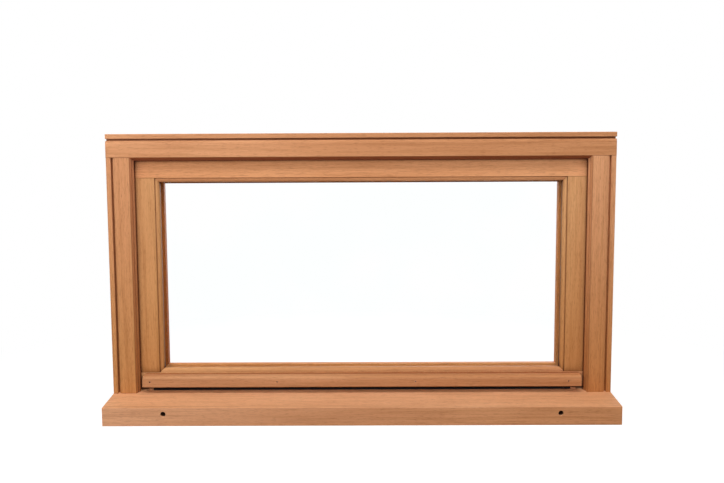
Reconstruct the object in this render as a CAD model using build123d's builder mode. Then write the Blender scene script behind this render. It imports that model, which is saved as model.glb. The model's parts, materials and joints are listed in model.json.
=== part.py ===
from build123d import *
import os
from math import asin, cos, degrees, radians, sin, sqrt

# Hopper window: a hardwood frame with a bottom-hung sash that tilts into the room.
# X runs along the window, Y from the outer face of the frame to the room, Z up.
# The origin is in the middle of the sill's underside, in the plane of the frame's outer face.
# All lengths are millimetres.

# Frame: overall size and the section of the head and jambs
frame_width = 915.0
frame_height = 515.0
strip_width = 8.5
groove_width = 3.5
groove_depth = 7.0
groove_slope_width = 5.0
groove_slope_depth = 1.6
lip_face = 42.0
lip_chamfer_width = 2.4
lip_chamfer_depth = 3.0
lip_quirk = 4.0
lip_moulding = 2.6
lip_thickness = 12.0
lip_overlap = 11.5
arris_radius = 0.8

# Sill
sill_projection = 60.0
sill_nose_height = 33.0
sill_face_height = 41.0
sill_seat_start = 18.0
sill_nose_radius = 1.2
drain_start = 25.0
drain_width = 7.0
drain_depth = 8.0
drain_end_gap = 12.0
weep_radius = 4.5
weep_height = 21.5
weep_end_gap = 107.5
throat_setback = 12.0
throat_width = 6.0
throat_depth = 5.0

# Corner joints of the frame
frame_tenon_thickness = 16.0
frame_tenon_inner_shoulder = 6.0
frame_tenon_outer_shoulder = 8.0
foot_tenon_depth = 25.0
frame_wedge_width = 4.0
frame_wedge_depth = 28.0

# Sash: section and clearances
sash_thickness = 44.0
sash_gap = 2.0
seal_gap = 2.0
hinge_gap = 3.0
top_rail_face = 41.2
stile_face = 45.0
bottom_rail_face = 30.0
sash_quirk = 1.5
sash_moulding = 7.5
glazing_lip = 12.0
glazing_rebate = 14.0
top_bevel = 3.0
foot_bevel = 2.0
sash_tenon_thickness = 14.0
sash_tenon_setback = 2.0
sash_tenon_inner_shoulder = 4.5
sash_tenon_outer_shoulder = 8.0
sash_wedge_width = 3.0
sash_wedge_depth = 20.0

# Weather bar on the sash
bar_lift = 6.6
bar_height = 20.5
bar_projection = 18.0
bar_round = 7.0
bar_arris = 1.6
bar_end_gap = 7.5
drip_width = 4.0
drip_depth = 3.0
drip_setback = 5.0
bar_pin_radius = 1.1
bar_pin_hole_radius = 1.4
bar_pin_sink = 2.5
bar_pin_bite = 12.0
bar_pin_shares = (-0.965, -0.385, 0.245, 0.94)
bar_pin_height_share = 0.49

# Glazing
tape_thickness = 2.0
tape_height = 9.0
pane_thickness = 4.0
cavity = 6.0
glass_edge_gap = 3.0
sealant_width = 2.5
spacer_height = 4.0
block_length = 60.0
block_shares = (-0.5, 0.5)
bead_rise = 2.0
bead_round = 6.0
bead_pin_radius = 0.8
bead_pin_length = 30.0
bead_pin_setback = 8.0
bead_pin_rail_shares = (-0.6, 0.0, 0.6)
bead_pin_stile_shares = (-0.5, 0.5)

# Weather seals and the packers under the sash
seal_width = 7.0
seal_setback = 2.0
seal_round = 0.6
sill_seal_width = 4.0
sill_seal_setback = 0.5
packer_width = 9.0
packer_depth = 4.0
packer_end_gap = 6.0

# Hinges
hinge_end_gap = 92.5
hinge_length = 75.0
hinge_leaf_depth = 24.0
hinge_leaf_thickness = 2.0
hinge_let_in = 1.0
knuckle_count = 5
knuckle_radius = 5.0
knuckle_gap = 0.4
knuckle_clearance = 0.4
barrel_gap = 0.5
hinge_pin_radius = 2.5
hinge_pin_clearance = 0.05
hinge_tip_length = 2.5
hinge_tip_bevel = 1.2
hinge_screw_shares = (-0.36, 0.0, 0.36)
hinge_screw_setback = 10.0
tilt_limit = 30.0

# Quadrant stays
stay_radius = 200.0
stay_bar_width = 12.0
stay_bar_thickness = 3.0
stay_plate_width = 26.0
stay_plate_height = 56.0
stay_plate_thickness = 2.5
stay_plate_inset = 3.0
stay_bar_inset = 6.5
stay_tail = 5.0
stop_radius = 2.5
stop_head_radius = 5.0
stop_head_thickness = 2.0
guide_plate_width = 34.0
guide_plate_height = 44.0
guide_plate_inset = 4.0
guide_arm_width = 12.0
guide_stand_off = 5.0
guide_depth = 12.0
guide_wall = 5.0
guide_clearance = 0.4
plate_screw_share = 0.33
plate_corner = 2.5

# Slide bolt at the head
bolt_radius = 4.0
bolt_clearance = 0.06
bolt_travel = 16.0
bolt_length = 26.0
bolt_bevel = 1.5
case_plate_width = 40.0
case_plate_height = 31.0
case_plate_thickness = 2.5
case_plate_drop = 3.0
case_wall = 2.5
case_screw_inset = 7.0
knob_stem_radius = 2.0
knob_seat_depth = 3.0
knob_neck_length = 9.0
knob_radius = 5.5
knob_flare = 2.5
knob_rim = 2.5
knob_bevel = 2.0
knob_slot_clearance = 0.5
keep_plate_height = 26.0
keep_lift = 5.0
keep_staple_height = 10.0
keep_clearance = 0.4

# Countersunk screws
screw_shank_radius = 1.75
screw_head_radius = 3.5
screw_length = 20.0
screw_slot_width = 0.9
screw_slot_depth = 0.8

# Clearance between pieces that part, and the overrun of cuts
fit_gap = 0.3
overrun = 5.0

# Places worked out from the sizes above
half_width = frame_width / 2
lip_width = lip_face + lip_chamfer_width + lip_moulding
member_thickness = lip_width - lip_overlap
sash_front = lip_thickness + seal_gap
frame_depth = sash_front + sash_thickness

head_face_z = frame_height - lip_face
head_lip_z = frame_height - lip_width
head_rebate_z = frame_height - member_thickness
jamb_face_x = half_width - lip_face
jamb_lip_x = half_width - lip_width
jamb_rebate_x = half_width - member_thickness

sill_slope = (sill_face_height - sill_nose_height) / sill_projection
seat_z = sill_face_height + sill_slope * sill_seat_start
drain_floor_z = seat_z - drain_depth

sash_half = jamb_rebate_x - sash_gap
sash_top = head_rebate_z - sash_gap
sash_bottom = seat_z + hinge_gap
stile_quirk_x = sash_half - stile_face
sight_x = stile_quirk_x - sash_moulding
rebate_x = sight_x + glazing_rebate
top_quirk_z = sash_top - top_rail_face
top_sight_z = top_quirk_z - sash_moulding
top_rebate_z = top_sight_z + glazing_rebate
bottom_quirk_z = sash_bottom + bottom_rail_face
bottom_sight_z = bottom_quirk_z + sash_moulding
bottom_rebate_z = bottom_sight_z - glazing_rebate
lip_back_y = sash_front + glazing_lip

tape_y = lip_back_y
outer_pane_y = tape_y + tape_thickness
cavity_y = outer_pane_y + pane_thickness
inner_pane_y = cavity_y + cavity
bead_y = inner_pane_y + pane_thickness
bead_height = glazing_rebate + bead_rise
bead_x = rebate_x - bead_height
bead_top_z = top_rebate_z - bead_height
bead_bottom_z = bottom_rebate_z + bead_height
glass_half = rebate_x - glass_edge_gap
glass_bottom = bottom_rebate_z + glass_edge_gap
glass_top = top_rebate_z - glass_edge_gap
opening_mid_z = (top_sight_z + bottom_sight_z) / 2
opening_half_height = (top_sight_z - bottom_sight_z) / 2

bar_half = jamb_lip_x - bar_end_gap
bar_bottom = sash_bottom + bar_lift
bar_front = sash_front - bar_projection

hinge_offset = sash_half - hinge_end_gap - hinge_length / 2
axis_y = frame_depth + knuckle_radius + barrel_gap
axis_z = seat_z + hinge_gap / 2

bolt_y = frame_depth + case_plate_thickness + case_wall + bolt_radius
case_top_z = sash_top - case_plate_drop
case_bottom_z = case_top_z - case_plate_height


# Straight prisms over an outline, and mirrored pairs
def prism_xz(points, front, back):
    with BuildPart() as prism:
        with BuildSketch(Plane.XZ.offset(-front)):
            with BuildLine():
                Polyline(*points, close=True)
            make_face()
        extrude(amount=front - back)
    return prism.part


def prism_yz(points, left, right):
    with BuildPart() as prism:
        with BuildSketch(Plane.YZ.offset(left)):
            with BuildLine():
                Polyline(*points, close=True)
            make_face()
        extrude(amount=right - left)
    return prism.part


def prism_xy(points, bottom, top):
    with BuildPart() as prism:
        with BuildSketch(Plane.XY.offset(bottom)):
            with BuildLine():
                Polyline(*points, close=True)
            make_face()
        extrude(amount=top - bottom)
    return prism.part


def rectangle(low_a, high_a, low_b, high_b):
    return [(low_a, low_b), (high_a, low_b), (high_a, high_b), (low_a, high_b)]


def rod(start, direction, radius, length):
    with BuildPart() as bar:
        with BuildSketch(Plane(origin=start, z_dir=direction)):
            Circle(radius)
        extrude(amount=length)
    return bar.part


def fixing_plate(left, right, low, high, thickness):
    with BuildPart() as plate:
        add(prism_xz(rectangle(left, right, low, high), frame_depth, frame_depth + thickness))
        fillet(edges().filter_by(Axis.Y), plate_corner)
    return plate.part


def mirrored(piece):
    with BuildPart() as twin:
        mirror(piece, about=Plane.YZ)
    return twin.part


def pair(piece):
    return [piece, mirrored(piece)]


# Outlines of the two mouldings: place() takes a point of the section, given as the distance in
# from the outer edge and back from the face, to the plane of the sketch
def ovolo(place, face, quirk, radius):
    turn = radius / sqrt(2)
    start = place(face, quirk)
    middle = place(face + turn, quirk + radius - turn)
    end = place(face + radius, quirk + radius)
    ThreePointArc(start, middle, end)


def frame_section(place):
    groove_end = strip_width + groove_width
    slope_end = groove_end + groove_slope_width
    quirk_edge = lip_face + lip_chamfer_width
    quirk_floor = lip_chamfer_depth + lip_quirk
    with BuildLine() as outline:
        Polyline(
            place(lip_width, quirk_floor + lip_moulding),
            place(lip_width, lip_thickness),
            place(member_thickness, lip_thickness),
            place(member_thickness, frame_depth),
            place(0, frame_depth),
            place(0, 0),
            place(strip_width, 0),
            place(strip_width, groove_depth),
            place(groove_end, groove_depth),
            place(groove_end, groove_slope_depth),
            place(slope_end, 0),
            place(lip_face, 0),
            place(quirk_edge, lip_chamfer_depth),
            place(quirk_edge, quirk_floor),
        )
        ovolo(place, quirk_edge, quirk_floor, lip_moulding)
    make_face(outline.edges())
    arrises = [place(0, 0), place(strip_width, 0), place(groove_end, groove_slope_depth)]
    fillet([vertices().sort_by_distance(arris)[0] for arris in arrises], arris_radius)


def sash_section(place, face):
    sight = face + sash_moulding
    with BuildLine() as outline:
        Polyline(
            place(sight, sash_quirk + sash_moulding),
            place(sight, glazing_lip),
            place(sight - glazing_rebate, glazing_lip),
            place(sight - glazing_rebate, sash_thickness),
            place(0, sash_thickness),
            place(0, 0),
            place(face, 0),
            place(face, sash_quirk),
        )
        ovolo(place, face, sash_quirk, sash_moulding)
    make_face(outline.edges())


# Corner shoulders: the rail keeps its face, the upright meets it at the moulding, and the two
# mouldings are mitred. Outlines are in the XZ plane for the left corner.
def rail_notch(face, sight, end_x, past_z):
    return [sight, face, (end_x, face[1]), (end_x, past_z), (sight[0], past_z)]


def upright_notch(face, sight, end_x, past_x, past_z):
    return [sight, face, (end_x, face[1]), (end_x, past_z), (past_x, past_z), (past_x, sight[1])]


def wedge_outline(edge, out, top, depth, width):
    return [(edge, top), (edge + out * width, top), (edge, top - depth)]


frame_end_x = -half_width - overrun
head_face_corner = (-jamb_face_x, head_face_z)
head_lip_corner = (-jamb_lip_x, head_lip_z)
head_notch = prism_xz(
    rail_notch(head_face_corner, head_lip_corner, frame_end_x, head_lip_z - overrun),
    -overrun,
    lip_thickness,
)
jamb_notch = prism_xz(
    upright_notch(
        head_face_corner,
        head_lip_corner,
        frame_end_x,
        -jamb_lip_x + overrun,
        frame_height + overrun,
    ),
    -overrun,
    lip_thickness,
)

# Frame tenons: through the head with wedges, blind in the sill
tenon_mid_y = (lip_thickness + frame_depth) / 2
tenon_front = tenon_mid_y - frame_tenon_thickness / 2
tenon_back = tenon_mid_y + frame_tenon_thickness / 2
tenon_left = -half_width + frame_tenon_outer_shoulder
tenon_right = -jamb_rebate_x - frame_tenon_inner_shoulder
tenon_plan = rectangle(tenon_left, tenon_right, tenon_front, tenon_back)
head_tenon = prism_xy(tenon_plan, head_rebate_z, frame_height)
foot_tenon = prism_xy(tenon_plan, seat_z - foot_tenon_depth, seat_z)
frame_wedge_pair = [
    prism_xz(
        wedge_outline(edge, out, frame_height, frame_wedge_depth, frame_wedge_width),
        tenon_front,
        tenon_back,
    )
    for edge, out in ((tenon_left, -1), (tenon_right, 1))
]

# Head
with BuildPart() as head:
    with BuildSketch(Plane.YZ):
        frame_section(lambda inward, back: (back, frame_height - inward))
    extrude(amount=half_width, both=True)
    for cut in [head_notch, head_tenon, *frame_wedge_pair]:
        add(pair(cut), mode=Mode.SUBTRACT)

# Jambs: the foot is cut to the top of the sill
sill_top_cut = prism_yz(
    [
        (-overrun, -overrun),
        (-overrun, sill_face_height - sill_slope * overrun),
        (sill_seat_start, seat_z),
        (frame_depth + overrun, seat_z),
        (frame_depth + overrun, -overrun),
    ],
    -half_width - overrun,
    half_width + overrun,
)
with BuildPart() as jamb_left:
    with BuildSketch():
        frame_section(lambda inward, back: (inward - half_width, back))
    extrude(amount=head_rebate_z)
    add([sill_top_cut, jamb_notch], mode=Mode.SUBTRACT)
    add([head_tenon, foot_tenon])

with BuildPart() as jamb_right:
    mirror(jamb_left.part, about=Plane.YZ)

with BuildPart() as frame_wedges:
    for wedge in frame_wedge_pair:
        add(pair(wedge))

# Sill: weathered top, drip throat, drain channel and weep holes
drain_mid_y = drain_start + drain_width / 2
drain_half = jamb_rebate_x - drain_end_gap
weep_rise = Vector(0, drain_mid_y + sill_projection, drain_floor_z - weep_height)
weep_mouth = Vector(weep_end_gap - half_width, -sill_projection, weep_height)
weep_start = weep_mouth - weep_rise.normalized() * overrun
weep = rod(weep_start, weep_rise, weep_radius, weep_rise.length + overrun)
with BuildPart() as sill:
    with BuildSketch(Plane.YZ):
        throat_start = -sill_projection + throat_setback
        throat_end = throat_start + throat_width
        with BuildLine():
            Polyline(
                (-sill_projection, 0),
                (-sill_projection, sill_nose_height),
                (sill_seat_start, seat_z),
                (frame_depth, seat_z),
                (frame_depth, 0),
                (throat_end, 0),
                (throat_end, throat_depth),
                (throat_start, throat_depth),
                (throat_start, 0),
                close=True,
            )
        make_face()
        fillet(vertices().group_by(Axis.X)[0], sill_nose_radius)
    extrude(amount=half_width, both=True)
    drain_plan = rectangle(-drain_half, drain_half, drain_start, drain_start + drain_width)
    add(prism_xy(drain_plan, drain_floor_z, seat_z + overrun), mode=Mode.SUBTRACT)
    add([*pair(weep), *pair(foot_tenon)], mode=Mode.SUBTRACT)

# Sash corners
sash_end_x = -sash_half - overrun
sash_back = sash_front + sash_thickness
top_face_corner = (-stile_quirk_x, top_quirk_z)
top_sight_corner = (-sight_x, top_sight_z)
bottom_face_corner = (-stile_quirk_x, bottom_quirk_z)
bottom_sight_corner = (-sight_x, bottom_sight_z)
sash_notch_front = sash_front - overrun
top_rail_notch = prism_xz(
    rail_notch(top_face_corner, top_sight_corner, sash_end_x, top_sight_z - overrun),
    sash_notch_front,
    lip_back_y,
)
bottom_rail_notch = prism_xz(
    rail_notch(bottom_face_corner, bottom_sight_corner, sash_end_x, bottom_sight_z + overrun),
    sash_notch_front,
    lip_back_y,
)
stile_past_x = -sight_x + overrun
stile_top_notch = prism_xz(
    upright_notch(top_face_corner, top_sight_corner, sash_end_x, stile_past_x, sash_top + overrun),
    sash_notch_front,
    lip_back_y,
)
stile_bottom_notch = prism_xz(
    upright_notch(
        bottom_face_corner,
        bottom_sight_corner,
        sash_end_x,
        stile_past_x,
        sash_bottom - overrun,
    ),
    sash_notch_front,
    lip_back_y,
)

# The foot of the bottom rail is eased over the gap, and the top edge of the sash falls to the
# front, so that it clears the head as it swings
foot_bevel_cut = prism_yz(
    [
        (sash_front, sash_bottom),
        (sash_front, sash_bottom + foot_bevel),
        (sash_front + foot_bevel, sash_bottom),
    ],
    sash_end_x,
    -sash_end_x,
)
top_bevel_cut = prism_yz(
    [(sash_front, sash_top - top_bevel), (sash_back, sash_top), (sash_front, sash_top)],
    -sash_half - overrun,
    sash_half + overrun,
)

# Sash tenons run through both rails and are wedged
sash_tenon_front = lip_back_y + sash_tenon_setback
sash_tenon_back = sash_tenon_front + sash_tenon_thickness
sash_tenon_left = -sash_half + sash_tenon_outer_shoulder
sash_tenon_right = -rebate_x - sash_tenon_inner_shoulder
sash_tenon_plan = rectangle(sash_tenon_left, sash_tenon_right, sash_tenon_front, sash_tenon_back)
top_tenon = prism_xy(sash_tenon_plan, top_rebate_z, sash_top)
bottom_tenon = prism_xy(sash_tenon_plan, sash_bottom, bottom_rebate_z)
sash_edges = ((sash_tenon_left, -1), (sash_tenon_right, 1))
top_wedges = [
    prism_xz(
        wedge_outline(edge, out, sash_top, sash_wedge_depth, sash_wedge_width),
        sash_tenon_front,
        sash_tenon_back,
    )
    for edge, out in sash_edges
]
bottom_wedges = [
    prism_xz(
        wedge_outline(edge, out, sash_bottom, -sash_wedge_depth, sash_wedge_width),
        sash_tenon_front,
        sash_tenon_back,
    )
    for edge, out in sash_edges
]

# Countersunk screw, head up at the origin: the blank also cuts its hole
with BuildPart() as screw_blank:
    with BuildSketch(Plane.XZ):
        with BuildLine():
            Polyline(
                (0, 0),
                (screw_head_radius, 0),
                (screw_shank_radius, screw_shank_radius - screw_head_radius),
                (screw_shank_radius, -screw_length),
                (0, -screw_length),
                close=True,
            )
        make_face()
    revolve(axis=Axis.Z)

with BuildPart() as screw:
    add(screw_blank.part)
    with BuildSketch():
        Rectangle(screw_head_radius * 2 + overrun, screw_slot_width)
    extrude(amount=-screw_slot_depth, mode=Mode.SUBTRACT)

down = (0, 0, -1)
to_room = (0, 1, 0)
sill_leaf_top = seat_z - hinge_let_in + hinge_leaf_thickness
sash_leaf_bottom = sash_bottom + hinge_let_in - hinge_leaf_thickness
hinge_screw_y = frame_depth - hinge_screw_setback
hinge_centres = (-hinge_offset, hinge_offset)
hinge_screw_xs = [
    centre + share * hinge_length for centre in hinge_centres for share in hinge_screw_shares
]
sill_screws = [Location((x, hinge_screw_y, sill_leaf_top)) for x in hinge_screw_xs]
sash_screws = [
    Location(Plane(origin=(x, hinge_screw_y, sash_leaf_bottom), z_dir=down))
    for x in hinge_screw_xs
]

# Stays: one bar on each jamb, curved about the hinge axis, and a guide on each stile
stay_z = axis_z + stay_radius
stay_plate_face = frame_depth + stay_plate_thickness
stay_plate_mid_x = jamb_rebate_x + stay_plate_inset + stay_plate_width / 2
guide_plate_mid_x = sash_half - guide_plate_inset - guide_plate_width / 2
stay_screw_rise = stay_plate_height * plate_screw_share
guide_screw_rise = guide_plate_height * plate_screw_share
stay_screws_at = [
    Location(Plane(origin=(side * stay_plate_mid_x, stay_plate_face, stay_z + rise), z_dir=to_room))
    for side in (-1, 1)
    for rise in (-stay_screw_rise, stay_screw_rise)
]
guide_screws_at = [
    Location(Plane(origin=(side * guide_plate_mid_x, stay_plate_face, stay_z + rise), z_dir=to_room))
    for side in (-1, 1)
    for rise in (-guide_screw_rise, guide_screw_rise)
]

# Slide bolt on the top rail, keep on the head
case_screw_x = case_plate_width / 2 - case_screw_inset
case_face_y = frame_depth + case_plate_thickness
case_mid_z = (case_top_z + case_bottom_z) / 2
keep_bottom_z = head_rebate_z + keep_lift
keep_mid_z = keep_bottom_z + keep_plate_height / 2
case_screws_at = [
    Location(Plane(origin=(side * case_screw_x, case_face_y, case_mid_z), z_dir=to_room))
    for side in (-1, 1)
]
keep_screws_at = [
    Location(Plane(origin=(side * case_screw_x, case_face_y, keep_mid_z), z_dir=to_room))
    for side in (-1, 1)
]

# Pins of the weather bar and of the glazing beads
bar_pin_z = bar_bottom + bar_height * bar_pin_height_share
bar_pin_xs = [share * bar_half for share in bar_pin_shares]
bar_pin_start = bar_front + bar_pin_sink
bar_pin_length = sash_front + bar_pin_bite - bar_pin_start
bar_pin_rods = [
    rod((x, bar_pin_start, bar_pin_z), (0, 1, 0), bar_pin_radius, bar_pin_length)
    for x in bar_pin_xs
]
bar_pin_mouths = [
    rod((x, bar_front - overrun, bar_pin_z), (0, 1, 0), bar_pin_hole_radius, overrun + bar_pin_sink)
    for x in bar_pin_xs
]
bead_pin_y = bead_y + bead_pin_setback
bead_pin_xs = [share * sight_x for share in bead_pin_rail_shares]
bead_pin_zs = [opening_mid_z + share * opening_half_height for share in bead_pin_stile_shares]
top_bead_pins = [
    rod((x, bead_pin_y, bead_top_z), (0, 0, 1), bead_pin_radius, bead_pin_length)
    for x in bead_pin_xs
]
bottom_bead_pins = [
    rod((x, bead_pin_y, bead_bottom_z), (0, 0, -1), bead_pin_radius, bead_pin_length)
    for x in bead_pin_xs
]
left_bead_pins = [
    rod((-bead_x, bead_pin_y, z), (-1, 0, 0), bead_pin_radius, bead_pin_length)
    for z in bead_pin_zs
]

# Recesses for the hinge leaves
sill_leaf_recesses = []
sash_leaf_recesses = []
for centre in hinge_centres:
    leaf_plan = rectangle(
        centre - hinge_length / 2,
        centre + hinge_length / 2,
        frame_depth - hinge_leaf_depth,
        frame_depth + overrun,
    )
    sill_leaf_recesses.append(prism_xy(leaf_plan, seat_z - hinge_let_in, seat_z + overrun))
    sash_leaf_recesses.append(prism_xy(leaf_plan, sash_bottom - overrun, sash_bottom + hinge_let_in))

with sill:
    add(sill_leaf_recesses, mode=Mode.SUBTRACT)
    with Locations(*sill_screws):
        add(screw_blank.part, mode=Mode.SUBTRACT)

with jamb_left:
    with Locations(*stay_screws_at):
        add(screw_blank.part, mode=Mode.SUBTRACT)

with jamb_right:
    with Locations(*stay_screws_at):
        add(screw_blank.part, mode=Mode.SUBTRACT)

with head:
    with Locations(*keep_screws_at):
        add(screw_blank.part, mode=Mode.SUBTRACT)

# Sash rails and stiles
with BuildPart() as sash_top_rail:
    with BuildSketch(Plane.YZ):
        sash_section(lambda inward, back: (sash_front + back, sash_top - inward), top_rail_face)
    extrude(amount=sash_half, both=True)
    for cut in [top_rail_notch, top_tenon, *top_wedges]:
        add(pair(cut), mode=Mode.SUBTRACT)
    add([top_bevel_cut, *top_bead_pins], mode=Mode.SUBTRACT)
    with Locations(*case_screws_at):
        add(screw_blank.part, mode=Mode.SUBTRACT)

with BuildPart() as sash_bottom_rail:
    with BuildSketch(Plane.YZ):
        sash_section(
            lambda inward, back: (sash_front + back, sash_bottom + inward), bottom_rail_face
        )
    extrude(amount=sash_half, both=True)
    for cut in [bottom_rail_notch, bottom_tenon, *bottom_wedges]:
        add(pair(cut), mode=Mode.SUBTRACT)
    add([foot_bevel_cut, *sash_leaf_recesses, *bottom_bead_pins, *bar_pin_rods], mode=Mode.SUBTRACT)
    with Locations(*sash_screws):
        add(screw_blank.part, mode=Mode.SUBTRACT)

with BuildPart() as sash_stile_left:
    with BuildSketch(Plane.XY.offset(bottom_rebate_z)):
        sash_section(lambda inward, back: (inward - sash_half, sash_front + back), stile_face)
    extrude(amount=top_rebate_z - bottom_rebate_z)
    add([stile_top_notch, stile_bottom_notch], mode=Mode.SUBTRACT)
    add([top_tenon, bottom_tenon])
    add([top_bevel_cut, *left_bead_pins], mode=Mode.SUBTRACT)
    with Locations(*guide_screws_at):
        add(screw_blank.part, mode=Mode.SUBTRACT)

with BuildPart() as sash_stile_right:
    mirror(sash_stile_left.part, about=Plane.YZ)

with BuildPart() as sash_wedges:
    for wedge in [*top_wedges, *bottom_wedges]:
        add(pair(wedge))
    add(top_bevel_cut, mode=Mode.SUBTRACT)

# Weather bar: rounded top, eased ends, drip groove underneath and four punched pins
with BuildPart() as weather_bar:
    with BuildSketch(Plane.YZ):
        with BuildLine():
            Polyline(
                *rectangle(bar_front, sash_front, bar_bottom, bar_bottom + bar_height), close=True
            )
        make_face()
        front_corners = vertices().group_by(Axis.X)[0].sort_by(Axis.Y)
        fillet(front_corners[-1], bar_round)
        fillet(vertices().group_by(Axis.X)[0].sort_by(Axis.Y)[0], bar_arris)
    extrude(amount=bar_half, both=True)
    for end_face in (faces().sort_by(Axis.X)[0], faces().sort_by(Axis.X)[-1]):
        fillet(end_face.edges().sort_by(Axis.Y)[:-1], bar_arris)
    drip_start = bar_front + drip_setback
    drip_section = rectangle(
        drip_start, drip_start + drip_width, bar_bottom - overrun, bar_bottom + drip_depth
    )
    add(prism_yz(drip_section, -bar_half - overrun, bar_half + overrun), mode=Mode.SUBTRACT)
    add([*bar_pin_rods, *bar_pin_mouths], mode=Mode.SUBTRACT)

with BuildPart() as weather_bar_pins:
    add(bar_pin_rods)


# Sealed glazing unit: two panes on a spacer, on a tape against the lip and on two blocks
def glass_ring(front, back, outset, height):
    with BuildPart() as ring:
        with BuildSketch(Plane.XZ.offset(-front)):
            with Locations((0, (glass_top + glass_bottom) / 2)):
                width = 2 * (glass_half - outset)
                tall = glass_top - glass_bottom - 2 * outset
                Rectangle(width, tall)
                Rectangle(width - 2 * height, tall - 2 * height, mode=Mode.SUBTRACT)
        extrude(amount=front - back)
    return ring.part


def pane(front):
    outline = rectangle(-glass_half, glass_half, glass_bottom, glass_top)
    return prism_xz(outline, front, front + pane_thickness)


with BuildPart() as outer_pane:
    add(pane(outer_pane_y))

with BuildPart() as inner_pane:
    add(pane(inner_pane_y))

with BuildPart() as glazing_tape:
    add(glass_ring(tape_y, outer_pane_y, 0, tape_height))

with BuildPart() as edge_sealant:
    add(glass_ring(cavity_y, inner_pane_y, 0, sealant_width))

with BuildPart() as spacer_bar:
    add(glass_ring(cavity_y, inner_pane_y, sealant_width, spacer_height))

with BuildPart() as setting_blocks:
    for share in block_shares:
        block_mid = share * glass_half
        block_plan = rectangle(
            block_mid - block_length / 2, block_mid + block_length / 2, outer_pane_y, bead_y
        )
        add(prism_xy(block_plan, bottom_rebate_z, glass_bottom))


# Glazing beads on the room side, mitred at the corners and pinned
def bead_section(place):
    with BuildLine() as outline:
        Polyline(
            *[
                place(inward, back)
                for inward, back in rectangle(0, bead_height, bead_y, sash_back)
            ],
            close=True,
        )
    make_face(outline.edges())
    fillet(vertices().sort_by_distance(place(bead_height, sash_back))[0], bead_round)


rail_bead_mitre = [
    (-rebate_x, top_rebate_z),
    (-bead_x, bead_top_z),
    (bead_x, bead_top_z),
    (rebate_x, top_rebate_z),
]
sill_bead_mitre = [
    (-rebate_x, bottom_rebate_z),
    (-bead_x, bead_bottom_z),
    (bead_x, bead_bottom_z),
    (rebate_x, bottom_rebate_z),
]
left_bead_mitre = [
    (-rebate_x, top_rebate_z),
    (-bead_x, bead_top_z),
    (-bead_x, bead_bottom_z),
    (-rebate_x, bottom_rebate_z),
]

with BuildPart() as glazing_bead_top:
    with BuildSketch(Plane.YZ):
        bead_section(lambda inward, back: (back, top_rebate_z - inward))
    extrude(amount=rebate_x, both=True)
    add(prism_xz(rail_bead_mitre, bead_y, sash_back), mode=Mode.INTERSECT)
    add(top_bead_pins, mode=Mode.SUBTRACT)

with BuildPart() as glazing_bead_bottom:
    with BuildSketch(Plane.YZ):
        bead_section(lambda inward, back: (back, bottom_rebate_z + inward))
    extrude(amount=rebate_x, both=True)
    add(prism_xz(sill_bead_mitre, bead_y, sash_back), mode=Mode.INTERSECT)
    add(bottom_bead_pins, mode=Mode.SUBTRACT)

with BuildPart() as glazing_bead_left:
    with BuildSketch(Plane.XY.offset(bottom_rebate_z)):
        bead_section(lambda inward, back: (inward - rebate_x, back))
    extrude(amount=top_rebate_z - bottom_rebate_z)
    add(prism_xz(left_bead_mitre, bead_y, sash_back), mode=Mode.INTERSECT)
    add(left_bead_pins, mode=Mode.SUBTRACT)

with BuildPart() as glazing_bead_right:
    mirror(glazing_bead_left.part, about=Plane.YZ)

with BuildPart() as bead_pins:
    add([*top_bead_pins, *bottom_bead_pins])
    for pin in left_bead_pins:
        add(pair(pin))

# Weather seals on the back of the lip
seal_face_y = sash_front - fit_gap
head_seal_low = head_lip_z + seal_setback
seal_end_x = jamb_lip_x + seal_setback + seal_width
with BuildPart() as head_seal:
    with BuildSketch(Plane.YZ):
        with BuildLine():
            Polyline(
                *rectangle(lip_thickness, seal_face_y, head_seal_low, head_seal_low + seal_width),
                close=True,
            )
        make_face()
        fillet(vertices().group_by(Axis.X)[-1], seal_round)
    extrude(amount=seal_end_x, both=True)

with BuildPart() as jamb_seal_left:
    with BuildSketch(Plane.XY.offset(sash_bottom)):
        with BuildLine():
            Polyline(
                *rectangle(-seal_end_x, seal_width - seal_end_x, lip_thickness, seal_face_y),
                close=True,
            )
        make_face()
        fillet(vertices().group_by(Axis.Y)[-1], seal_round)
    extrude(amount=head_seal_low - sash_bottom)

with BuildPart() as jamb_seal_right:
    mirror(jamb_seal_left.part, about=Plane.YZ)

# Seal along the gap under the bottom rail, between two small packers that leave its ends open
sill_seal_front = sash_front + sill_seal_setback
packer_outer = bar_half - packer_end_gap
packer_inner = packer_outer - packer_width
with BuildPart() as sill_seal:
    with BuildSketch(Plane.YZ):
        with BuildLine():
            Polyline(
                *rectangle(
                    sill_seal_front,
                    sill_seal_front + sill_seal_width,
                    sill_nose_height,
                    sash_bottom - fit_gap,
                ),
                close=True,
            )
        make_face()
        fillet(vertices().group_by(Axis.Y)[-1], seal_round)
    extrude(amount=packer_inner - fit_gap, both=True)
    add(sill_top_cut, mode=Mode.SUBTRACT)

packer_plan = rectangle(
    packer_inner, packer_outer, sill_seal_front, sill_seal_front + packer_depth
)
with BuildPart() as closing_packers:
    add(pair(prism_xy(packer_plan, sill_nose_height, sash_bottom - fit_gap)))
    add(sill_top_cut, mode=Mode.SUBTRACT)


# Butt hinges: each leaf has its own knuckles and is cut clear of the other leaf's
knuckle_pitch = hinge_length / knuckle_count


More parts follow.
